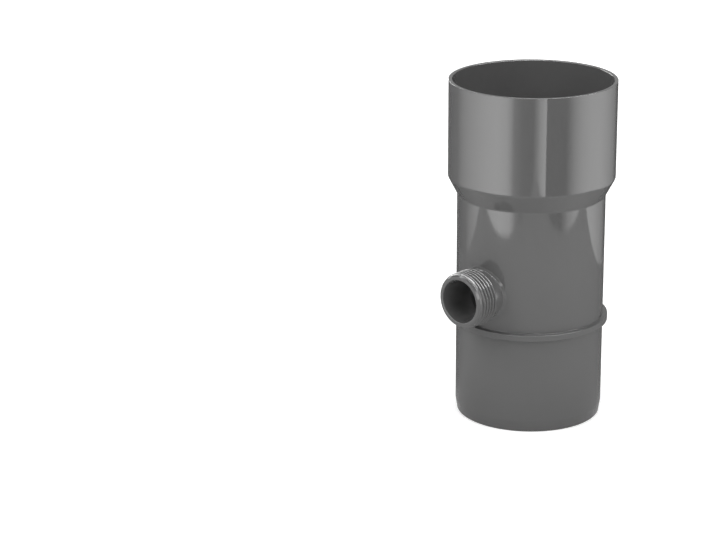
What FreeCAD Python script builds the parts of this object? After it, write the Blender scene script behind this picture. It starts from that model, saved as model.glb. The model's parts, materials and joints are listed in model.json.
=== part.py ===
import FreeCAD, Part
import math
import os

# Downpipe connector: one moulding in plastic. A 90 mm rainwater downpipe slides into the
# socket at the top, the spigot at the bottom slides into the next downpipe, and a threaded
# outlet on the side draws off the water that an inner trough collects from the pipe wall.
# Millimetres. +Z is up along the pipe, the origin is the middle of the spigot's lower end,
# and the outlet points along -Y.

# The downpipe that it joins
PIPE_D = 90.0
PIPE_WALL = 2.2
SOCKET_CLEARANCE = 0.5
SPIGOT_CLEARANCE = 0.5

# Heights along the body
HEIGHT = 196.7
CONE_BOTTOM_Z = 130.5
CONE_TOP_Z = 140.6
CONE_FOOT_ROUND = 2.0
CONE_SHOULDER_ROUND = 3.0

# Walls, rim and spigot end
WALL = 2.15
RIM_BEVEL = 0.4
SOCKET_MOUTH_BEVEL = 0.7
LEAD_IN_HEIGHT = 6.3
LEAD_IN = 0.95
SPIGOT_END_BEVEL = 0.25

# Stop bead round the body: the lower downpipe is pushed up against it and lies flush with it
BEAD_Z = 57.5
BEAD_HEIGHT = 3.8
BEAD_SLOPE = 0.3
BEAD_TOP_ROUND = 0.6
BEAD_FOOT_BEVEL = 0.25

# Side outlet: a plain lead at its mouth, a thread of 11 turns to the inch, and a neck
OUTLET_Z = 79.3
OUTLET_PROUD = 18.6
OUTLET_BORE_D = 24.8
LEAD_D = 30.4
LEAD_LENGTH = 2.7
MOUTH_BEVEL = 1.0
THREAD_D = 32.0
THREAD_LENGTH = 10.3
THREAD_ENTRY = 0.8
THREAD_RUNOUT = 1.0
NECK_D = 29.0
NECK_ROOT_ROUND = 1.6

# Collecting trough inside: a floor across the gap and a sleeve that stands on it
TROUGH_WIDTH = 9.0
TROUGH_BELOW_BORE = 1.0
TROUGH_FLOOR = 2.2
TROUGH_CORNER_BEVEL = 0.8
SLEEVE_WALL = 2.0
SLEEVE_ABOVE_BORE = 8.0
SLEEVE_TOP_BEVEL = 0.6

# What follows from them
BODY_R = PIPE_D / 2 - PIPE_WALL - SPIGOT_CLEARANCE
BODY_BORE_R = BODY_R - WALL
SOCKET_BORE_R = PIPE_D / 2 + SOCKET_CLEARANCE
SOCKET_R = SOCKET_BORE_R + WALL
BEAD_R = PIPE_D / 2
OUTLET_REACH = BODY_R + OUTLET_PROUD
OUTLET_BORE_R = OUTLET_BORE_D / 2
LEAD_R = LEAD_D / 2
THREAD_R = THREAD_D / 2
NECK_R = NECK_D / 2
TROUGH_Z = OUTLET_Z - OUTLET_BORE_R - TROUGH_BELOW_BORE
SLEEVE_TOP_Z = OUTLET_Z + OUTLET_BORE_R + SLEEVE_ABOVE_BORE
SLEEVE_R = BODY_BORE_R - TROUGH_WIDTH
SLEEVE_BORE_R = SLEEVE_R - SLEEVE_WALL

# Two points of a profile nearer than this are one point
JOIN_TOLERANCE = 0.0001


def sharp(r, z):
    """Corner of a profile, left as it is."""
    return FreeCAD.Vector(r, 0, z), 0, False


def bevel(r, z, size):
    """Corner of a profile, cut off this far along both sides."""
    return FreeCAD.Vector(r, 0, z), size, False


def rounded(r, z, radius):
    """Corner of a profile, rounded with this radius."""
    return FreeCAD.Vector(r, 0, z), radius, True


def profile(corners):
    """Closed wire in the XZ plane through corners made by sharp, bevel or rounded."""
    count = len(corners)
    ends = []
    edges = []
    for i in range(count):
        here, size, is_round = corners[i]
        back = (corners[i - 1][0] - here).normalize()
        ahead = (corners[(i + 1) % count][0] - here).normalize()
        half = back.getAngle(ahead) / 2
        run = size / math.tan(half) if is_round else size
        start = here + back * run
        end = here + ahead * run
        ends.append((start, end))
        if is_round:
            middle = (back + ahead).normalize()
            bulge = here + middle * (size / math.sin(half) - size)
            edges.append(Part.Arc(start, bulge, end).toShape())
        elif size > 0:
            edges.append(Part.LineSegment(start, end).toShape())
    for i in range(count):
        leave = ends[i][1]
        arrive = ends[(i + 1) % count][0]
        if leave.distanceToPoint(arrive) > JOIN_TOLERANCE:
            edges.append(Part.LineSegment(leave, arrive).toShape())
    return Part.Wire(Part.__sortEdges__(edges))


def turned(corners):
    """Solid of revolution about Z of a profile."""
    face = Part.Face(profile(corners))
    return face.revolve(FreeCAD.Vector(0, 0, 0), FreeCAD.Vector(0, 0, 1), 360)


def make_shell():
    """Spigot, bead, body, cone and socket, with the trough's floor and sleeve in the same section."""
    cone_slope = math.atan2(SOCKET_R - BODY_R, CONE_TOP_Z - CONE_BOTTOM_Z)
    inner_shift = WALL * math.tan(cone_slope / 2)
    bead_low = BEAD_Z - BEAD_HEIGHT / 2
    bead_high = BEAD_Z + BEAD_HEIGHT / 2
    floor_under = TROUGH_Z - TROUGH_FLOOR
    outside = [
        bevel(BODY_R - LEAD_IN, 0, SPIGOT_END_BEVEL),
        sharp(BODY_R, LEAD_IN_HEIGHT),
        sharp(BODY_R, bead_low),
        bevel(BEAD_R, bead_low, BEAD_FOOT_BEVEL),
        rounded(BEAD_R, bead_high - BEAD_SLOPE, BEAD_TOP_ROUND),
        sharp(BODY_R, bead_high),
        rounded(BODY_R, CONE_BOTTOM_Z, CONE_FOOT_ROUND),
        rounded(SOCKET_R, CONE_TOP_Z, CONE_SHOULDER_ROUND),
        bevel(SOCKET_R, HEIGHT, RIM_BEVEL),
    ]
    socket = [
        bevel(SOCKET_BORE_R, HEIGHT, SOCKET_MOUTH_BEVEL),
        sharp(SOCKET_BORE_R, CONE_TOP_Z + inner_shift),
        sharp(BODY_BORE_R, CONE_BOTTOM_Z + inner_shift),
    ]
    trough = [
        bevel(BODY_BORE_R, TROUGH_Z, TROUGH_CORNER_BEVEL),
        bevel(SLEEVE_R, TROUGH_Z, TROUGH_CORNER_BEVEL),
        bevel(SLEEVE_R, SLEEVE_TOP_Z, SLEEVE_TOP_BEVEL),
        bevel(SLEEVE_BORE_R, SLEEVE_TOP_Z, SLEEVE_TOP_BEVEL),
        bevel(SLEEVE_BORE_R, floor_under, TROUGH_CORNER_BEVEL),
        bevel(BODY_BORE_R, floor_under, TROUGH_CORNER_BEVEL),
    ]
    lower_end = [bevel(BODY_BORE_R, 0, SPIGOT_END_BEVEL)]
    return turned(outside + socket + trough + lower_end)


def make_neck():
    """Outlet neck with its bevelled mouth, its lead, the thread's full diameter and its run-out, ending in the wall."""
    thread_start = OUTLET_REACH - LEAD_LENGTH
    thread_end = thread_start - THREAD_LENGTH
    corners = [
        sharp(0, OUTLET_REACH),
        bevel(LEAD_R, OUTLET_REACH, MOUTH_BEVEL),
        sharp(LEAD_R, thread_start),
        sharp(THREAD_R, thread_start - THREAD_ENTRY),
        sharp(THREAD_R, thread_end),
        sharp(NECK_R, thread_end - THREAD_RUNOUT),
        sharp(NECK_R, 0),
        sharp(0, 0),
    ]
    neck = turned(corners)
    neck.rotate(FreeCAD.Vector(0, 0, 0), FreeCAD.Vector(1, 0, 0), 90)
    neck.translate(FreeCAD.Vector(0, 0, OUTLET_Z))
    wall_middle = Part.makeCylinder((BODY_R + BODY_BORE_R) / 2, HEIGHT)
    return neck.cut(wall_middle)


def root_edges(shape):
    """Edges of the saddle where the neck meets the body's outer face."""
    found = []
    for edge in shape.Edges:
        points = edge.discretize(9)
        on_body = all(abs(math.hypot(p.x, p.y) - BODY_R) < 0.01 for p in points)
        on_neck = all(abs(math.hypot(p.x, p.z - OUTLET_Z) - NECK_R) < 0.01 for p in points)
        if on_body and on_neck and points[0].y < 0:
            found.append(edge)
    return found


def make_connector():
    """The whole moulding: shell and neck in one, the root rounded, the outlet bored into the trough."""
    body = make_shell().fuse(make_neck()).removeSplitter()
    body = body.makeFillet(NECK_ROOT_ROUND, root_edges(body))
    bore_end = (SLEEVE_R + BODY_BORE_R * math.cos(math.asin(OUTLET_BORE_R / BODY_BORE_R))) / 2
    bore = Part.makeCylinder(
        OUTLET_BORE_R,
        OUTLET_REACH - bore_end,
        FreeCAD.Vector(0, -bore_end, OUTLET_Z),
        FreeCAD.Vector(0, -1, 0),
    )
    return body.cut(bore)


os.makedirs("parts", exist_ok=True)
connector = make_connector()
if connector.ShapeType == "Compound":
    connector = connector.Solids[0]
connector.exportStep("parts/connector_body.step")
print("connector_body", connector.isValid(), round(connector.Volume), connector.BoundBox)
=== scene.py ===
"""Downpipe connector: one moulding in graphite plastic, on a white studio floor."""

import json
import math
from types import SimpleNamespace

import bmesh
import bpy
import numpy as np
from mathutils import Matrix, Vector


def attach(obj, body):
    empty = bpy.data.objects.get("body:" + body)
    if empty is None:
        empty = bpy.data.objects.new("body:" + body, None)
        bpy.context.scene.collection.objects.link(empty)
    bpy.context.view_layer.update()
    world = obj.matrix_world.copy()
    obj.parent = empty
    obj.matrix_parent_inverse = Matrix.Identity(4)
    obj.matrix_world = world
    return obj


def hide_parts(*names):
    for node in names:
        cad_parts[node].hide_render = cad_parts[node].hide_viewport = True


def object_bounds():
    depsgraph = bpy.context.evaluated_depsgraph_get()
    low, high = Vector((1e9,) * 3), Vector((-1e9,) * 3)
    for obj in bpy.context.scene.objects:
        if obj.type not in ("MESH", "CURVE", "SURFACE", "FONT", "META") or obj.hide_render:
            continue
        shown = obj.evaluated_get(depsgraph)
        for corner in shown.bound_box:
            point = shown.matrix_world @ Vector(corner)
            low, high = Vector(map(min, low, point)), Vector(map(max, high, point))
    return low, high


bl_info = {
    "name": "Downpipe connector",
    "version": (1, 0, 0),
    "blender": (4, 5, 0),
    "location": "3D View > Sidebar > Connector",
    "description": "Builds a moulded downpipe connector with a threaded outlet, and its studio",
    "category": "Object",
}

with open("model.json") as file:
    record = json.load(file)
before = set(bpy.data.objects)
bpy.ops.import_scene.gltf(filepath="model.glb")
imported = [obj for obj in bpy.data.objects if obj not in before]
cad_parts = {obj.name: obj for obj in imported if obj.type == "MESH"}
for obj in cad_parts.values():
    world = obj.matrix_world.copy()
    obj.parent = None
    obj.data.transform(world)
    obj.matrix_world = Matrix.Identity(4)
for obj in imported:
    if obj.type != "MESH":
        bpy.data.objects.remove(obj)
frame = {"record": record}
CAD_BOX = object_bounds()
MM = 0.001


def mount(name):
    """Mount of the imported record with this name."""
    for found in frame["record"]["mounts"]:
        if found["name"] == name:
            return found
    raise RuntimeError(f"the packed record has no mount named {name}")


def mount_radius(name):
    """Radius of a mount, in metres."""
    return mount(name)["dims"]["r_mm"] * MM


# Settings


class ConnectorSizes(bpy.types.PropertyGroup):
    """Sizes of the moulding."""

    height: bpy.props.FloatProperty(
        name="Height", description="Rim above the spigot's end",
        default=CAD_BOX[1].z, unit="LENGTH")
    spigot_radius: bpy.props.FloatProperty(
        name="Spigot radius", description="Outside of the lower pipe, which slides into the next downpipe",
        default=mount_radius("lower_spigot"), unit="LENGTH")
    inner_radius: bpy.props.FloatProperty(
        name="Inner radius", description="Inside of the lower pipe",
        default=mount_radius("spigot_bore"), unit="LENGTH")
    socket_bore: bpy.props.FloatProperty(
        name="Socket bore", description="Inside radius of the socket that takes the upper downpipe",
        default=mount_radius("pipe_socket"), unit="LENGTH")
    sleeve_bore: bpy.props.FloatProperty(
        name="Sleeve bore", description="Inside radius of the sleeve in the middle of the trough",
        default=mount_radius("sleeve_bore"), unit="LENGTH")
    outlet_height: bpy.props.FloatProperty(
        name="Outlet height", description="Middle of the outlet above the spigot's end",
        default=mount("outlet_bore")["pos_m"][2], unit="LENGTH")
    outlet_reach: bpy.props.FloatProperty(
        name="Outlet reach", description="Mouth of the outlet from the pipe's axis",
        default=-CAD_BOX[0].y, unit="LENGTH")
    outlet_bore: bpy.props.FloatProperty(
        name="Outlet bore", description="Inside radius of the outlet",
        default=mount_radius("outlet_bore"), unit="LENGTH")
    thread_radius: bpy.props.FloatProperty(
        name="Thread radius", description="Crest radius of the outlet's pipe thread",
        default=mount_radius("outlet_thread"), unit="LENGTH")
    thread_pitch: bpy.props.FloatProperty(
        name="Thread pitch", description="From one crest of the thread to the next",
        default=2.309 * MM, unit="LENGTH")


class ConnectorLook(bpy.types.PropertyGroup):
    """Colours and finish."""

    plastic_colour: bpy.props.FloatVectorProperty(
        name="Plastic", description="Colour of the moulded plastic",
        subtype="COLOR", size=3, min=0.0, max=1.0, default=(0.105, 0.1047, 0.1047))
    roughness: bpy.props.FloatProperty(
        name="Roughness", description="Roughness of the plastic's skin",
        subtype="FACTOR", min=0.0, max=1.0, default=0.05)
    floor_colour: bpy.props.FloatVectorProperty(
        name="Floor", description="Colour of the studio floor",
        subtype="COLOR", size=3, min=0.0, max=1.0, default=(0.86, 0.86, 0.86))


# Surfaces


def rounded_corners(outline, steps, straight):
    """Corners (x, y, rounding) of a closed outline, each made an arc with a short straight at both ends.

    For a corner P with unit directions a and b to its neighbours and half the angle between
    them h, the arc of radius s runs about P + unit(a + b) * s / sin(h), from P + a * s / tan(h)
    to P + b * s / tan(h). The straights keep the shading of the flat sides flat. The result has
    one row of points for each corner.
    """
    outline = np.array(outline)
    corners, radii = outline[:, :2], outline[:, 2]
    to_last = np.roll(corners, 1, axis=0) - corners
    to_next = np.roll(corners, -1, axis=0) - corners
    to_last /= np.linalg.norm(to_last, axis=1, keepdims=True)
    to_next /= np.linalg.norm(to_next, axis=1, keepdims=True)
    half = 0.5 * np.arccos(np.clip((to_last * to_next).sum(axis=1), -1.0, 1.0))
    run = radii / np.tan(half)
    start = corners + to_last * run[:, None]
    end = corners + to_next * run[:, None]
    middle = to_last + to_next
    middle /= np.linalg.norm(middle, axis=1, keepdims=True)
    centre = (corners + middle * (radii / np.sin(half))[:, None])[:, None]
    turn = (math.pi - 2.0 * half)[:, None]
    t = np.linspace(0.0, 1.0, steps)[None, :]
    weight_start = (np.sin((1.0 - t) * turn) / np.sin(turn))[:, :, None]
    weight_end = (np.sin(t * turn) / np.sin(turn))[:, :, None]
    arc = centre + weight_start * (start[:, None] - centre) + weight_end * (end[:, None] - centre)
    before = (start + to_last * straight)[:, None]
    after = (end + to_next * straight)[:, None]
    return np.concatenate([before, arc, after], axis=1)


def rounded_path(outline, steps, straight):
    """Points of the rounded corners of an open outline, whose two ends only give its directions."""
    return rounded_corners(outline, steps, straight)[1:-1].reshape(-1, 2)


def smooth_step(value, low, high):
    """0 below low, 1 above high, and 3t^2 - 2t^3 of the way t between them."""
    t = np.clip((value - low) / (high - low), 0.0, 1.0)
    return t * t * (3.0 - 2.0 * t)


def around(radius, angle, z):
    """Points (radius sin angle, -radius cos angle, z): round the pipe's axis, from the outlet's side."""
    return np.stack(np.broadcast_arrays(radius * np.sin(angle), -radius * np.cos(angle), z), axis=-1)


def column_of(values):
    """Values as a column, one for each row of points."""
    return np.array(values)[:, None]


def grid_faces(index, climb=0):
    """Quads of a grid of vertex numbers, closed along its columns, facing outwards for rows that go up.

    With a climb, each row's last column meets the first column that many rows further up.
    """
    ahead = np.roll(index, -1, axis=1)
    if climb:
        ahead[:, -1] = index[np.minimum(np.arange(len(index)) + climb, len(index) - 1), 0]
    return np.stack([index[:-1], ahead[:-1], ahead[1:], index[1:]], axis=-1).reshape(-1, 4)


# Points nearer than this are one point, and edges sharper than this stay crisp
MERGE_DISTANCE = 0.002 * MM
CRISP_ANGLE = math.radians(38)


def new_object(name, data):
    """New object with this data, in the scene."""
    made = bpy.data.objects.new(name, data)
    bpy.context.scene.collection.objects.link(made)
    return made


def mesh_piece(name, points, faces, material):
    """New object with this mesh, smooth, with its doubles merged and its sharp edges kept crisp."""
    mesh = bpy.data.meshes.new(name)
    mesh.from_pydata(points, [], faces.tolist())
    work = bmesh.new()
    work.from_mesh(mesh)
    bmesh.ops.remove_doubles(work, verts=work.verts, dist=MERGE_DISTANCE)
    work.to_mesh(mesh)
    work.free()
    mesh.shade_smooth()
    mesh.set_sharp_from_angle(angle=CRISP_ANGLE)
    mesh.materials.append(material)
    return new_object(name, mesh)


# Materials

# Numbers of a Mix node's two colour inputs and of its colour output
MIX_A, MIX_B, MIX_RESULT = 6, 7, 2


def new_nodes(owner):
    """Empty node tree of a material or world."""
    owner.use_nodes = True
    owner.node_tree.nodes.clear()
    return owner.node_tree


def add_node(tree, kind, place, sockets=None, **values):
    """Node at a place in the editor, with its properties and the defaults of its inputs set."""
    node = tree.nodes.new(kind)
    node.location = place
    for key, value in values.items():
        setattr(node, key, value)
    for key, value in (sockets or {}).items():
        node.inputs[key].default_value = value
    return node


def moulded_grain():
    """Node group: the fine relief and the slow unevenness that a polished mould leaves on plastic."""
    group = bpy.data.node_groups.get("Moulded grain")
    if group:
        return group
    group = bpy.data.node_groups.new("Moulded grain", "ShaderNodeTree")
    group.interface.new_socket("Vector", in_out="INPUT", socket_type="NodeSocketVector")
    for name in ("Grain scale", "Flow scale", "Grain"):
        group.interface.new_socket(name, in_out="INPUT", socket_type="NodeSocketFloat")
    for name in ("Height", "Unevenness"):
        group.interface.new_socket(name, in_out="OUTPUT", socket_type="NodeSocketFloat")
    link = group.links.new
    inputs = add_node(group, "NodeGroupInput", (-900, 0))
    outputs = add_node(group, "NodeGroupOutput", (200, 0))
    grain = add_node(group, "ShaderNodeTexNoise", (-600, 150), {"Detail": 3.0})
    flow = add_node(group, "ShaderNodeTexNoise", (-600, -150), {"Detail": 2.0})
    link(inputs.outputs["Vector"], grain.inputs["Vector"])
    link(inputs.outputs["Grain scale"], grain.inputs["Scale"])
    link(inputs.outputs["Vector"], flow.inputs["Vector"])
    link(inputs.outputs["Flow scale"], flow.inputs["Scale"])
    height = add_node(group, "ShaderNodeMath", (-200, 150), operation="MULTIPLY")
    link(grain.outputs["Fac"], height.inputs[0])
    link(inputs.outputs["Grain"], height.inputs[1])
    link(height.outputs[0], outputs.inputs["Height"])
    link(flow.outputs["Fac"], outputs.inputs["Unevenness"])
    return group


def graphite_plastic(look):
    """Semi-gloss graphite plastic: fine grain in its relief, and slight unevenness in gloss and colour."""
    material = bpy.data.materials.new("Graphite plastic")
    tree = new_nodes(material)
    link = tree.links.new
    output = add_node(tree, "ShaderNodeOutputMaterial", (700, 0))
    shader = add_node(tree, "ShaderNodeBsdfPrincipled", (380, 0), {"IOR": 1.5})
    link(shader.outputs["BSDF"], output.inputs["Surface"])
    place = add_node(tree, "ShaderNodeTexCoord", (-900, 0))
    scales = {"Grain scale": 2600.0, "Flow scale": 24.0, "Grain": 0.5}
    grain = add_node(tree, "ShaderNodeGroup", (-650, 0), scales, node_tree=moulded_grain())
    link(place.outputs["Object"], grain.inputs["Vector"])

    dark = np.array(look.plastic_colour[:3])
    tones = {MIX_A: (*(dark * 0.96), 1.0), MIX_B: (*(dark * 1.04), 1.0)}
    tone = add_node(tree, "ShaderNodeMix", (60, 160), tones, data_type="RGBA")
    link(grain.outputs["Unevenness"], tone.inputs[0])
    link(tone.outputs[MIX_RESULT], shader.inputs["Base Color"])

    low, high = look.roughness - 0.01, look.roughness + 0.01
    spread = {"From Min": 0.3, "From Max": 0.7, "To Min": low, "To Max": high}
    gloss = add_node(tree, "ShaderNodeMapRange", (60, -60), spread)
    link(grain.outputs["Unevenness"], gloss.inputs["Value"])
    link(gloss.outputs["Result"], shader.inputs["Roughness"])

    bump = add_node(tree, "ShaderNodeBump", (60, -320), {"Strength": 0.05, "Distance": 0.1 * MM})
    link(grain.outputs["Height"], bump.inputs["Height"])
    link(bump.outputs["Normal"], shader.inputs["Normal"])
    return material


# The moulding, in millimetres

# Heights of the cone between body and socket, and the lead-in at the spigot's end
CONE_LOW, CONE_HIGH = 130.5, 140.6
LEAD_IN, LEAD_IN_HEIGHT = 0.95, 6.3
# The stop bead, whose top slopes a little
BEAD_RADIUS = 45.0
BEAD_LOW, BEAD_EDGE, BEAD_HIGH = 55.6, 59.1, 59.4
# The trough's floor under the outlet's bore, and the sleeve that stands on it
TROUGH_BELOW_BORE, TROUGH_FLOOR = 1.0, 2.2
SLEEVE_WALL, SLEEVE_ABOVE_BORE = 2.0, 8.0
# Rounding of the trough's and sleeve's corners
INSIDE_ROUND = 0.6

# The outlet's plain neck, and the slope at its root
NECK_RADIUS = 14.7
ROOT_WIDTH, ROOT_HEIGHT = 1.3, 0.75
# The entry at the mouth: its whole length, the cone down from the crests, the lead and its bevel
ENTRY_LENGTH = 2.7
CONE_LENGTH, CONE_SLOPE = 0.9, 0.7
LEAD_RADIUS, LEAD_BEVEL = 15.2, 1.0
# The thread's length and half its run-out, and how far the last crest on the +X side lies behind
# the entry. Its flanks stand 27.5 degrees off square, as a pipe thread's do
THREAD_LENGTH, RUN_OUT = 11.3, 0.5
LAST_CREST = 1.35
FLANK = math.radians(27.5)
CREST_ROUND, GROOVE_ROUND = 0.62, 0.25
# Stretches beside the entry's start where the grooves end, and where the neck widens to the cone
GROOVE_END = (-0.1, 0.35)
NECK_END = (-1.6, -0.2)

# Columns of points round the pipe, points of a rounding, and the straight beside one
COLUMNS = 240
ROUND_STEPS, OUTLET_STEPS = 4, 5
STRAIGHT, ROOT_STRAIGHT = 0.05, 0.08
# Windows in the turned grid that the outlet joins: half their columns, their rows, and the heights
# of their first and last row over the outlet's axis, up the outer wall and down the inner one
WINDOW_COLUMNS, WINDOW_ROWS = 20, 50
OUTER_WINDOW, INNER_WINDOW = (-19.0, 19.0), (16.0, -12.6)
# Rows of points to one turn of the thread, half of them on a crest and half in a groove, the turns
# behind the last crest, and how far the rows reach past the entry's start
THREAD_ROWS, THREAD_TURNS, THREAD_PAST_ENTRY = 20, 5, 0.6
# How far the rows of the wall and the neck keep off the root, and their places on the way to the
# root and from it
OFF_ROOT = 0.3
WALL_SHARES = (0.12, 0.28, 0.44, 0.6, 0.75, 0.88, 0.96)
NECK_SHARES = (0.04, 0.35, 0.7)
# Rows of points along the bore, and on the inner wall between the bore and its window
BORE_ROWS, INNER_ROWS = 24, 4


def in_millimetres(sizes):
    """The settings' sizes in millimetres, by the same names."""
    return SimpleNamespace(**{key: getattr(sizes, key) / MM for key in sizes.__annotations__})


def shell_corners(size):
    """Corners (r, z, rounding) of the closed section of pipe, socket, trough and sleeve.

    The first list runs up the outside to the outlet, the second over the rim and down the inside
    to the outlet, and the third round the trough and sleeve and down to the spigot's end.
    """
    body, inner, socket_bore = size.spigot_radius, size.inner_radius, size.socket_bore
    wall = body - inner
    socket = socket_bore + wall
    cone_slope = math.atan2(socket - body, CONE_HIGH - CONE_LOW)
    inner_shift = wall * math.tan(cone_slope / 2)
    outside = [
        (body - LEAD_IN, 0.0, 0.25),
        (body, LEAD_IN_HEIGHT, 2.0),
        (body, BEAD_LOW, 0.2),
        (BEAD_RADIUS, BEAD_LOW, 0.3),
        (BEAD_RADIUS, BEAD_EDGE, 0.12),
        (body, BEAD_HIGH, 0.05),
    ]
    over_rim = [
        (body, CONE_LOW, 2.0),
        (socket, CONE_HIGH, 3.0),
        (socket, size.height, 0.1),
        (socket_bore, size.height, 0.4),
        (socket_bore, CONE_HIGH + inner_shift, 1.2),
        (inner, CONE_LOW + inner_shift, 1.2),
    ]
    trough = size.outlet_height - size.outlet_bore - TROUGH_BELOW_BORE
    under = trough - TROUGH_FLOOR
    sleeve_in, sleeve_out = size.sleeve_bore, size.sleeve_bore + SLEEVE_WALL
    sleeve_top = size.outlet_height + size.outlet_bore + SLEEVE_ABOVE_BORE
    inside = [
        (inner, trough, INSIDE_ROUND),
        (sleeve_out, trough, INSIDE_ROUND),
        (sleeve_out, sleeve_top, INSIDE_ROUND),
        (sleeve_in, sleeve_top, INSIDE_ROUND),
        (sleeve_in, under, INSIDE_ROUND),
        (inner, under, INSIDE_ROUND),
        (inner, 0.0, 0.3),
    ]
    return outside, over_rim, inside


def window_side(radius, height, ends):
    """Rows (r, z) of a straight wall beside a window, evenly spaced between its ends over this height."""
    z = height + np.linspace(*ends, WINDOW_ROWS + 1)
    return np.stack([np.full(z.size, radius), z], axis=1)


def shell_section(size):
    """Points (r, z) of the closed section, and the row in it where each of the two windows starts."""
    outside, over_rim, inside = shell_corners(size)
    points = rounded_corners(outside + over_rim + inside, ROUND_STEPS, STRAIGHT)
    outer_break = len(outside)
    inner_break = outer_break + len(over_rim)
    stretches = [
        points[:outer_break].reshape(-1, 2),
        window_side(size.spigot_radius, size.outlet_height, OUTER_WINDOW),
        points[outer_break:inner_break].reshape(-1, 2),
        window_side(size.inner_radius, size.outlet_height, INNER_WINDOW),
        points[inner_break:].reshape(-1, 2),
    ]
    outer_first = len(stretches[0])
    inner_first = sum(len(stretch) for stretch in stretches[:3])
    return np.concatenate(stretches), outer_first, inner_first


def shell_faces(number, window_rows):
    """Quads of the turned grid, closed both ways, without the windows that start at these rows."""
    cells = grid_faces(np.concatenate([number, number[:1]]))
    row, column = np.divmod(np.arange(number.size), COLUMNS)
    column = (column + COLUMNS // 2) % COLUMNS - COLUMNS // 2
    across = (column >= -WINDOW_COLUMNS) & (column < WINDOW_COLUMNS)
    open_cell = np.zeros(number.size, dtype=bool)
    for first in window_rows:
        open_cell |= across & (row >= first) & (row < first + WINDOW_ROWS)
    return cells[~open_cell]


def window_ring(number, first, rising):
    """Vertex numbers round a window, anticlockwise as the outlet is seen, from its right side's middle.

    The rows from the first one on rise along the outer wall and fall along the inner one.
    """
    rows = first + np.arange(WINDOW_ROWS + 1)
    if not rising:
        rows = rows[::-1]
    columns = np.arange(-WINDOW_COLUMNS, WINDOW_COLUMNS + 1)
    right, left = number[rows, WINDOW_COLUMNS], number[rows, -WINDOW_COLUMNS]
    top, bottom = number[rows[-1], columns], number[rows[0], columns]
    half = WINDOW_ROWS // 2
    return np.concatenate([right[half:-1], top[:0:-1], left[:0:-1], bottom[:-1], right[:half]])


def wall_depth(radius, p, v):
    """How far a pipe wall stands off the pipe's axis, at distance p and angle v round the outlet."""
    return np.sqrt(radius ** 2 - (p * np.cos(v)) ** 2)


def band(p, d, v):
    """Rows of the outlet's points, as one array of their distances p and d and their angles v."""
    return np.stack(np.broadcast_arrays(p, d, v))


def thread_span(size):
    """Distances from the pipe's axis at which the thread's rows start, the entry starts, and they end."""
    entry = size.outlet_reach - ENTRY_LENGTH
    return entry - LAST_CREST - THREAD_TURNS * size.thread_pitch, entry, entry + THREAD_PAST_ENTRY


def entry_radius(size, d):
    """Radius of the lead, and of the cone that rises from it to the crests, at distances d."""
    foot = size.outlet_reach - ENTRY_LENGTH + CONE_LENGTH
    return np.clip(LEAD_RADIUS + (foot - d) * CONE_SLOPE, LEAD_RADIUS, size.thread_radius)


def root_bands(size, p_ring, v):
    """Bands from the outer wall's window in to the root, over it and up the plain neck to the thread.

    The wall's points lie on straight lines from the window to the root's foot, as the outlet is
    seen. The root is a slope with rounded ends that stands on the wall, and the neck a cylinder.
    """
    body = size.spigot_radius
    foot = NECK_RADIUS + ROOT_WIDTH
    t = column_of(WALL_SHARES)
    p = (1.0 - t) * p_ring + t * (foot + OFF_ROOT)
    wall = band(p, wall_depth(body, p, v), v)

    slope = [
        (foot + 2.0, 0.0, 0.0),
        (foot, 0.0, 0.3),
        (NECK_RADIUS, ROOT_HEIGHT, 0.15),
        (NECK_RADIUS, ROOT_HEIGHT + 2.0, 0.0),
    ]
    p, rise = np.split(rounded_path(slope, OUTLET_STEPS, ROOT_STRAIGHT), 2, axis=1)
    root = band(p, wall_depth(body, p, v) + rise, v)

    t = column_of(NECK_SHARES)
    start = wall_depth(body, NECK_RADIUS, v) + ROOT_HEIGHT + OFF_ROOT
    neck = band(NECK_RADIUS, (1.0 - t) * start + t * thread_span(size)[0], v)
    return [wall, root, neck]


def thread_band(size, v):
    """Band of the thread: 55 degree grooves with rounded crests and roots, on a right-hand helix.

    A turn's profile is a zigzag of two flanks with rounded corners. The point at t along it and
    angle v lies at d = first + pitch * (turn + t + v / 360 degrees - 1), so a row climbs with the
    helix and keeps its place in the profile, and is held at the band's two ends. The grooves fade
    into the neck at the back and into the entry cone at the front.
    """
    pitch = size.thread_pitch
    first, entry, last = thread_span(size)
    high = size.thread_radius + CREST_ROUND * (1.0 / math.sin(FLANK) - 1.0)
    low = high - pitch / 2 / math.tan(FLANK)
    zigzag = [
        (-pitch / 2, low, 0.0),
        (0.0, high, CREST_ROUND),
        (pitch / 2, low, GROOVE_ROUND),
        (pitch, high, 0.0),
    ]
    turn = rounded_path(zigzag, THREAD_ROWS // 2 - 2, STRAIGHT)
    turns = math.ceil((last - first) / pitch) + 2
    along = (np.arange(turns)[:, None] * pitch + turn[:, 0]).reshape(-1, 1)
    profile = np.tile(turn[:, 1], turns)[:, None]

    share = np.unwrap(v) / (2.0 * math.pi)
    d = np.clip(first + along + pitch * (share - 1.0), first, last)
    back = entry - THREAD_LENGTH
    cut = smooth_step(d, back - RUN_OUT, back + RUN_OUT)
    cut *= 1.0 - smooth_step(d, entry + GROOVE_END[0], entry + GROOVE_END[1])
    widening = smooth_step(d, entry + NECK_END[0], entry + NECK_END[1])
    plain = NECK_RADIUS + (entry_radius(size, d) - NECK_RADIUS) * widening
    return band((1.0 - cut) * plain + cut * profile, d, v)


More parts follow.
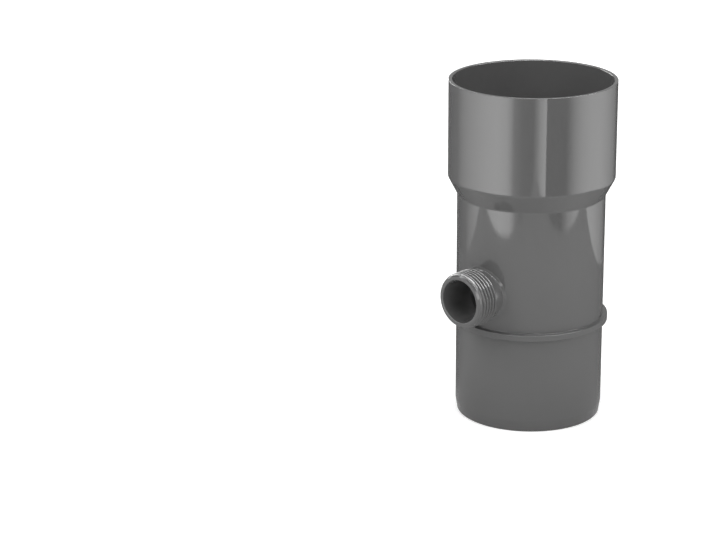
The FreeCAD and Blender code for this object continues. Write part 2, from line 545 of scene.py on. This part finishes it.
def mouth_bands(size, v, p_ring, v_ring):
    """Bands of the lead, its bevel, the mouth and the bore, and of the inner wall out to its window.

    Along the bore the angle turns evenly from v to that of the window's points.
    """
    bore, inner, reach = size.outlet_bore, size.inner_radius, size.outlet_reach
    last = thread_span(size)[2]
    outline = [
        (entry_radius(size, last), last, 0.0),
        (LEAD_RADIUS, reach - ENTRY_LENGTH + CONE_LENGTH, 0.15),
        (LEAD_RADIUS, reach - LEAD_BEVEL, 0.3),
        (LEAD_RADIUS - LEAD_BEVEL, reach, 0.4),
        (bore, reach, 0.4),
        (bore, reach - 4.0, 0.0),
    ]
    p, d = np.split(rounded_path(outline, OUTLET_STEPS, STRAIGHT), 2, axis=1)
    mouth = band(p, d, v)

    t = column_of(np.arange(1, BORE_ROWS + 1) / BORE_ROWS)
    turning = (1.0 - t) * v + t * v_ring
    through = band(bore, (1.0 - t) * d[-1] + t * wall_depth(inner, bore, turning), turning)

    t = column_of(np.arange(1, INNER_ROWS + 1) / (INNER_ROWS + 1))
    p = (1.0 - t) * bore + t * p_ring
    wall = band(p, wall_depth(inner, p, v_ring), v_ring)
    return [mouth, through, wall]


def polar(points, height):
    """Distances and angles of points as seen from the outlet's axis at this height."""
    across, up = points[:, 0], points[:, 2] - height
    return np.hypot(across, up), np.arctan2(up, across)


def moulding_mesh(size):
    """Points in metres and quads of the whole moulding.

    The section (r, z) is turned to (r sin u, -r cos u, z), with u from 0 on the outlet's side. A
    window is left out of that grid in the outer wall and one in the inner wall, and the outlet's own
    grid joins them. Its points are (p cos v, -d, z0 + p sin v), with p the distance from the outlet's
    axis at the height z0, d the distance from the pipe's axis and v the angle of each point of the
    outer window as seen from the outlet's axis, which turns to that of the inner window in the bore.
    """
    section, outer_first, inner_first = shell_section(size)
    u = np.arange(COLUMNS) * (2.0 * math.pi / COLUMNS)
    shell = around(section[:, :1], u, section[:, 1:]).reshape(-1, 3)
    number = np.arange(len(shell)).reshape(-1, COLUMNS)
    outer_ring = window_ring(number, outer_first, True)
    inner_ring = window_ring(number, inner_first, False)

    p_out, v_out = polar(shell[outer_ring], size.outlet_height)
    p_in, v_in = polar(shell[inner_ring], size.outlet_height)
    v_in = v_out + (v_in - v_out + math.pi) % (2.0 * math.pi) - math.pi
    before, thread = root_bands(size, p_out, v_out), thread_band(size, v_out)
    after = mouth_bands(size, v_out, p_in, v_in)
    p, d, v = np.concatenate([*before, thread, *after], axis=1)
    outlet = np.stack([p * np.cos(v), -d, size.outlet_height + p * np.sin(v)], axis=-1)

    own = len(shell) + np.arange(p.size).reshape(p.shape)
    rows = np.concatenate([outer_ring[None], own, inner_ring[None]])
    thread_first = 1 + sum(part.shape[1] for part in before)
    thread_last = thread_first + thread.shape[1] - 1
    faces = np.concatenate([
        shell_faces(number, (outer_first, inner_first)),
        grid_faces(rows[:thread_first + 1]),
        grid_faces(rows[thread_first:thread_last + 1], THREAD_ROWS),
        grid_faces(rows[thread_last:]),
    ])
    used, faces = np.unique(faces, return_inverse=True)
    points = np.concatenate([shell, outlet.reshape(-1, 3)]) * MM
    return points[used], faces.reshape(-1, 4)


class CONNECTOR_OT_moulding(bpy.types.Operator):
    """Builds the whole moulding as one mesh and puts it in place of the plain solid"""

    bl_idname = "connector.moulding"
    bl_label = "Moulding"

    def execute(self, context):
        points, faces = moulding_mesh(in_millimetres(context.scene.connector_sizes))
        material = graphite_plastic(context.scene.connector_look)
        piece = mesh_piece("connector_moulding", points, faces, material)
        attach(piece, "root")
        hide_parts("connector_body")
        return {"FINISHED"}


# The studio, in metres and degrees

# The camera, found by fitting the rim, cone, bead and outlet to the photograph: its angle round from
# the outlet's side, its height and roll, its distance from a point on the pipe's axis, its focal
# length in pixels, and the pixel where that point is seen
CAMERA_SIDE, CAMERA_UP, CAMERA_ROLL = 44.286, 18.129, -0.345
CAMERA_DISTANCE = 1.35719
FOCAL_PIXELS = 2365.97
AXIS_POINT = (0.0, 0.0, 0.1034)
AXIS_PIXEL = (530.488, 237.043)
PHOTO_PIXELS = (716.0, 540.0)
SENSOR_WIDTH = 36.0

# Strength of the world's light on everything but what is seen directly
WORLD_LEVEL = 0.52
# The floor: half its side, how far it lies under the part, and where its own glow changes
FLOOR_HALF = 4.0
FLOOR_DROP = 0.0002
FLOOR_FADE = {"From Min": 0.4, "From Max": 1.5, "To Min": 0.35, "To Max": 1.0}
# Lamps: name, place, size and power. All are aimed at the middle of the part
LAMPS = (
    ("lamp_key", (-0.6, -1.3, 1.4), 0.9, 15.2),
    ("lamp_fill", (1.5, -0.2, 1.0), 0.9, 9.6),
    ("lamp_top", (0.0, 0.2, 1.9), 1.2, 14.0),
)
LAMP_TARGET = (0.0, 0.0, 0.1)

# The tent that the gloss shows: the distances of its walls at 0, 90, 180 and 270 degrees round from
# the outlet's side, the heights of their foot, of the change in their glow and of the top, and the
# height of its floor and the radius of the hole in it
TENT_WALLS = (0.410, 0.420, 0.300, 0.320)
WALL_FOOT, WALL_CHANGE, TENT_HEIGHT = 0.0005, (0.13, 0.142), 0.45
TENT_FLOOR, TENT_HOLE = 0.0003, 0.03
# Columns of points round the tent, and rows from the middle of its top and floor outwards
TENT_COLUMNS, TOP_ROWS, FLOOR_ROWS = 721, 41, 25
# Glow of the walls' lower part, of their upper part and of the floor, each at an angle to the right
# of the camera's side
WALL_GLOW = (
    (-180, 0.15), (-140, 0.15), (-120, 0.35), (-112, 0.85), (-105, 1.4), (-96, 2.1), (-81, 3.2),
    (-67, 4.0), (-50, 4.6), (-37, 4.1), (-32, 3.0), (-27, 1.2), (-18, 0.45), (-10, 0.3), (-3, 0.3),
    (2, 1.6), (6, 3.0), (13.4, 4.4), (14.2, 0.25), (40, 0.25), (46, 1.2), (53, 2.45), (64, 3.4),
    (78, 3.6), (93, 2.9), (112, 1.4), (124, 0.75), (140, 0.2), (150, 0.06), (180, 0.1),
)
UPPER_GLOW = (
    (-180, 0.4), (-165, 0.4), (-158, 7.0), (-138, 7.0), (-120, 0.12), (-14, 0.12), (-7, 4.5), (3, 4.5),
    (9, 2.0), (45, 2.0), (62, 1.6), (88, 1.6), (104, 0.12), (150, 0.4), (180, 0.4),
)
FLOOR_GLOW = (
    (-180, 0.1), (-150, 0.1), (-120, 0.4), (-105, 0.75), (-85, 0.92), (-60, 0.95), (0, 0.96),
    (45, 1.1), (65, 1.08), (90, 0.8), (120, 0.35), (150, 0.1), (180, 0.1),
)
# Glow of the top's dark part, and what its bright part adds
TOP_REST, TOP_GLOW = 0.1, 18.0


def studio_camera():
    """Camera at the photograph's place, shifted sideways so that the axis point is seen at its pixel."""
    side, height, roll = map(math.radians, (CAMERA_SIDE, CAMERA_UP, CAMERA_ROLL))
    back = Vector((
        math.sin(side) * math.cos(height),
        -math.cos(side) * math.cos(height),
        math.sin(height),
    ))
    right = Vector((math.cos(side), math.sin(side), 0.0))
    up = back.cross(right)
    across = right * math.cos(roll) + up * math.sin(roll)
    upward = up * math.cos(roll) - right * math.sin(roll)
    pixel = CAMERA_DISTANCE / FOCAL_PIXELS
    place = Vector(AXIS_POINT) + back * CAMERA_DISTANCE
    place -= across * ((AXIS_PIXEL[0] - PHOTO_PIXELS[0] / 2) * pixel)
    place += upward * ((AXIS_PIXEL[1] - PHOTO_PIXELS[1] / 2) * pixel)
    data = bpy.data.cameras.new("Camera")
    data.sensor_width = SENSOR_WIDTH
    data.lens = FOCAL_PIXELS * SENSOR_WIDTH / PHOTO_PIXELS[0]
    data.clip_start = 0.01
    camera = new_object("Camera", data)
    camera.matrix_world = Matrix.Translation(place) @ Matrix((across, upward, back)).transposed().to_4x4()
    bpy.context.scene.camera = camera


def seen_directly(tree):
    """Socket that is 1 for camera, glossy and transmission rays, and 0 for the rest."""
    rays = add_node(tree, "ShaderNodeLightPath", (-700, -100))
    first = add_node(tree, "ShaderNodeMath", (-450, -60), operation="MAXIMUM")
    second = add_node(tree, "ShaderNodeMath", (-250, -80), operation="MAXIMUM")
    tree.links.new(rays.outputs["Is Camera Ray"], first.inputs[0])
    tree.links.new(rays.outputs["Is Glossy Ray"], first.inputs[1])
    tree.links.new(first.outputs[0], second.inputs[0])
    tree.links.new(rays.outputs["Is Transmission Ray"], second.inputs[1])
    return second.outputs[0]


def white_world():
    """White to camera, gloss and glass, and a plain even level to everything else."""
    world = bpy.data.worlds.new("Studio")
    bpy.context.scene.world = world
    tree = new_nodes(world)
    output = add_node(tree, "ShaderNodeOutputWorld", (600, 0))
    light = add_node(tree, "ShaderNodeBackground", (380, 0), {"Color": (1.0, 1.0, 1.0, 1.0)})
    level = add_node(tree, "ShaderNodeMapRange", (190, 0), {"To Min": WORLD_LEVEL, "To Max": 1.0})
    tree.links.new(seen_directly(tree), level.inputs["Value"])
    tree.links.new(level.outputs["Result"], light.inputs["Strength"])
    tree.links.new(light.outputs["Background"], output.inputs["Surface"])


def floor_material(look):
    """Pale floor that keeps the object's shadow and turns into the white background further off."""
    material = bpy.data.materials.new("Studio floor")
    tree = new_nodes(material)
    link = tree.links.new
    output = add_node(tree, "ShaderNodeOutputMaterial", (700, 0))
    matt = add_node(tree, "ShaderNodeBsdfDiffuse", (100, 100), {"Color": (*look.floor_colour, 1.0)})
    glow = add_node(tree, "ShaderNodeEmission", (100, -100))
    both = add_node(tree, "ShaderNodeAddShader", (400, 0))
    place = add_node(tree, "ShaderNodeTexCoord", (-700, -400))
    away = add_node(tree, "ShaderNodeVectorMath", (-450, -400), operation="LENGTH")
    far = add_node(tree, "ShaderNodeMapRange", (-250, -400), FLOOR_FADE)
    level = add_node(tree, "ShaderNodeMath", (-80, -100), operation="MULTIPLY")
    link(place.outputs["Object"], away.inputs[0])
    link(away.outputs["Value"], far.inputs["Value"])
    link(seen_directly(tree), level.inputs[0])
    link(far.outputs["Result"], level.inputs[1])
    link(level.outputs[0], glow.inputs["Strength"])
    link(matt.outputs[0], both.inputs[0])
    link(glow.outputs[0], both.inputs[1])
    link(both.outputs[0], output.inputs["Surface"])
    return material


def studio_floor(look):
    """Wide square floor a hair under the part's lower end."""
    mesh = bpy.data.meshes.new("studio_floor")
    corners = [(x * FLOOR_HALF, y * FLOOR_HALF, 0.0) for x, y in ((-1, -1), (1, -1), (1, 1), (-1, 1))]
    mesh.from_pydata(corners, [], [(0, 1, 2, 3)])
    mesh.materials.append(floor_material(look))
    floor = new_object("studio_floor", mesh)
    floor.location.z = -FLOOR_DROP


def glow_material():
    """Plain glow whose strength is the attribute glow of the panel that has it."""
    material = bpy.data.materials.new("Studio glow")
    tree = new_nodes(material)
    output = add_node(tree, "ShaderNodeOutputMaterial", (400, 0))
    glow = add_node(tree, "ShaderNodeEmission", (150, 0))
    level = add_node(tree, "ShaderNodeAttribute", (-150, 0), attribute_name="glow")
    tree.links.new(level.outputs["Fac"], glow.inputs["Strength"])
    tree.links.new(glow.outputs[0], output.inputs["Surface"])
    return material


def gloss_panel(name, points, glow, material):
    """Grid of points that only reflections see, each with its own glow."""
    number = np.arange(glow.size).reshape(glow.shape)
    faces = np.stack([number[:-1, :-1], number[1:, :-1], number[1:, 1:], number[:-1, 1:]], axis=-1)
    mesh = bpy.data.meshes.new(name)
    mesh.from_pydata(points.reshape(-1, 3), [], faces.reshape(-1, 4).tolist())
    level = mesh.attributes.new("glow", "FLOAT", "POINT")
    level.data.foreach_set("value", glow.astype(np.float32).ravel())
    mesh.materials.append(material)
    panel = new_object(name, mesh)
    panel.visible_camera = False
    panel.visible_diffuse = False
    panel.visible_shadow = False
    panel.visible_transmission = False


def top_brightness(points):
    """Share of the top's added glow at each of its points.

    It is bright from 0.28 m in front of the pipe's axis, and from 0.23 m on the right, back to just
    in front of the axis. Behind that it is bright on the right only. The left is dimmer.
    """
    x, y = points[..., 0], points[..., 1]
    front = -0.28 + 0.05 * smooth_step(x, 0.08, 0.16)
    dark = (1.0 - smooth_step(x, 0.06, 0.12)) * smooth_step(y, -0.05, -0.01)
    left = 1.0 - smooth_step(x, -0.1, -0.02)
    return smooth_step(y, front, front + 0.1) * (1.0 - dark) * (1.0 - 0.4 * left)


def floor_glow_and_painted_shadow(radius):
    """Share of the floor's glow at a distance from the pipe's axis: less near the part, a painted shadow
    of the part on the floor as the gloss sees it.
    """
    return 0.45 + 0.4 * smooth_step(radius, 0.02, 0.16) + 0.2 * smooth_step(radius, 0.18, 0.36)


def light_tent():
    """Four walls round the object, the top over it and the floor between them, as its gloss sees them.

    A wall's points are (s sin w, -s cos w, h), where s is the least, over the walls that face the
    angle w, of the wall's distance / cos(w - the wall's angle). The top and the floor go from the
    pipe's axis out to the walls in the same way.
    """
    material = glow_material()
    w = np.radians(np.linspace(0.0, 360.0, TENT_COLUMNS))
    facing = np.cos(w[:, None] - np.radians([0.0, 90.0, 180.0, 270.0]))
    reach = np.where(facing > 0.05, np.array(TENT_WALLS) / np.maximum(facing, 0.05), np.inf).min(axis=1)
    seen = (np.degrees(w) - CAMERA_SIDE + 180.0) % 360.0 - 180.0
    glows = (WALL_GLOW, UPPER_GLOW, FLOOR_GLOW)
    wall, upper, floor = (np.interp(seen, *np.array(knots).T) for knots in glows)

    heights = column_of((WALL_FOOT, *WALL_CHANGE, TENT_HEIGHT))
    gloss_panel("tent_walls", around(reach, w, heights), np.stack([wall, wall, upper, upper]), material)

    share = column_of(np.linspace(0.0, 1.0, TOP_ROWS))
    points = around(share * reach, w, TENT_HEIGHT)
    gloss_panel("tent_top", points, TOP_REST + TOP_GLOW * top_brightness(points), material)

    share = column_of(np.linspace(0.0, 1.0, FLOOR_ROWS)) ** 1.5
    radius = TENT_HOLE + share * (reach - TENT_HOLE)
    # The floor's glow is lower near the part: a painted shadow of the part, seen in its gloss
    gloss_panel("tent_floor", around(radius, w, TENT_FLOOR), floor * floor_glow_and_painted_shadow(radius), material)


def soft_lamp(name, place, size, power):
    """Square soft lamp aimed at the part, unseen in reflections."""
    data = bpy.data.lights.new(name, "AREA")
    data.shape = "SQUARE"
    data.size = size
    data.energy = power
    lamp = new_object(name, data)
    lamp.location = place
    lamp.rotation_euler = (Vector(LAMP_TARGET) - Vector(place)).to_track_quat("-Z", "Y").to_euler()
    lamp.visible_glossy = False


class CONNECTOR_OT_studio(bpy.types.Operator):
    """Sets the camera, the white floor and background, the lamps and the panels that the gloss shows"""

    bl_idname = "connector.studio"
    bl_label = "Studio"

    def execute(self, context):
        studio_camera()
        white_world()
        studio_floor(context.scene.connector_look)
        light_tent()
        for lamp in LAMPS:
            soft_lamp(*lamp)
        context.scene.view_settings.view_transform = "Standard"
        return {"FINISHED"}


# The panel and the run


class CONNECTOR_PT_panel(bpy.types.Panel):
    """Panel with the connector's sizes, finish and pieces"""

    bl_label = "Connector"
    bl_idname = "CONNECTOR_PT_panel"
    bl_space_type = "VIEW_3D"
    bl_region_type = "UI"
    bl_category = "Connector"

    def draw(self, context):
        layout = self.layout
        for group in (context.scene.connector_sizes, context.scene.connector_look):
            box = layout.box()
            for key in group.__annotations__:
                box.prop(group, key)
        layout.operator(CONNECTOR_OT_moulding.bl_idname)
        layout.operator(CONNECTOR_OT_studio.bl_idname)


CLASSES = (ConnectorSizes, ConnectorLook, CONNECTOR_OT_moulding, CONNECTOR_OT_studio, CONNECTOR_PT_panel)


def register():
    """Registers the classes and hangs the two groups of settings on the scene."""
    for item in CLASSES:
        bpy.utils.register_class(item)
    bpy.types.Scene.connector_sizes = bpy.props.PointerProperty(type=ConnectorSizes)
    bpy.types.Scene.connector_look = bpy.props.PointerProperty(type=ConnectorLook)


def unregister():
    """Takes the settings and the classes away again."""
    del bpy.types.Scene.connector_look
    del bpy.types.Scene.connector_sizes
    for item in reversed(CLASSES):
        bpy.utils.unregister_class(item)


def main():
    """Builds the moulding and the studio."""
    register()
    bpy.ops.connector.moulding()
    bpy.ops.connector.studio()


if __name__ == "__main__":
    main()
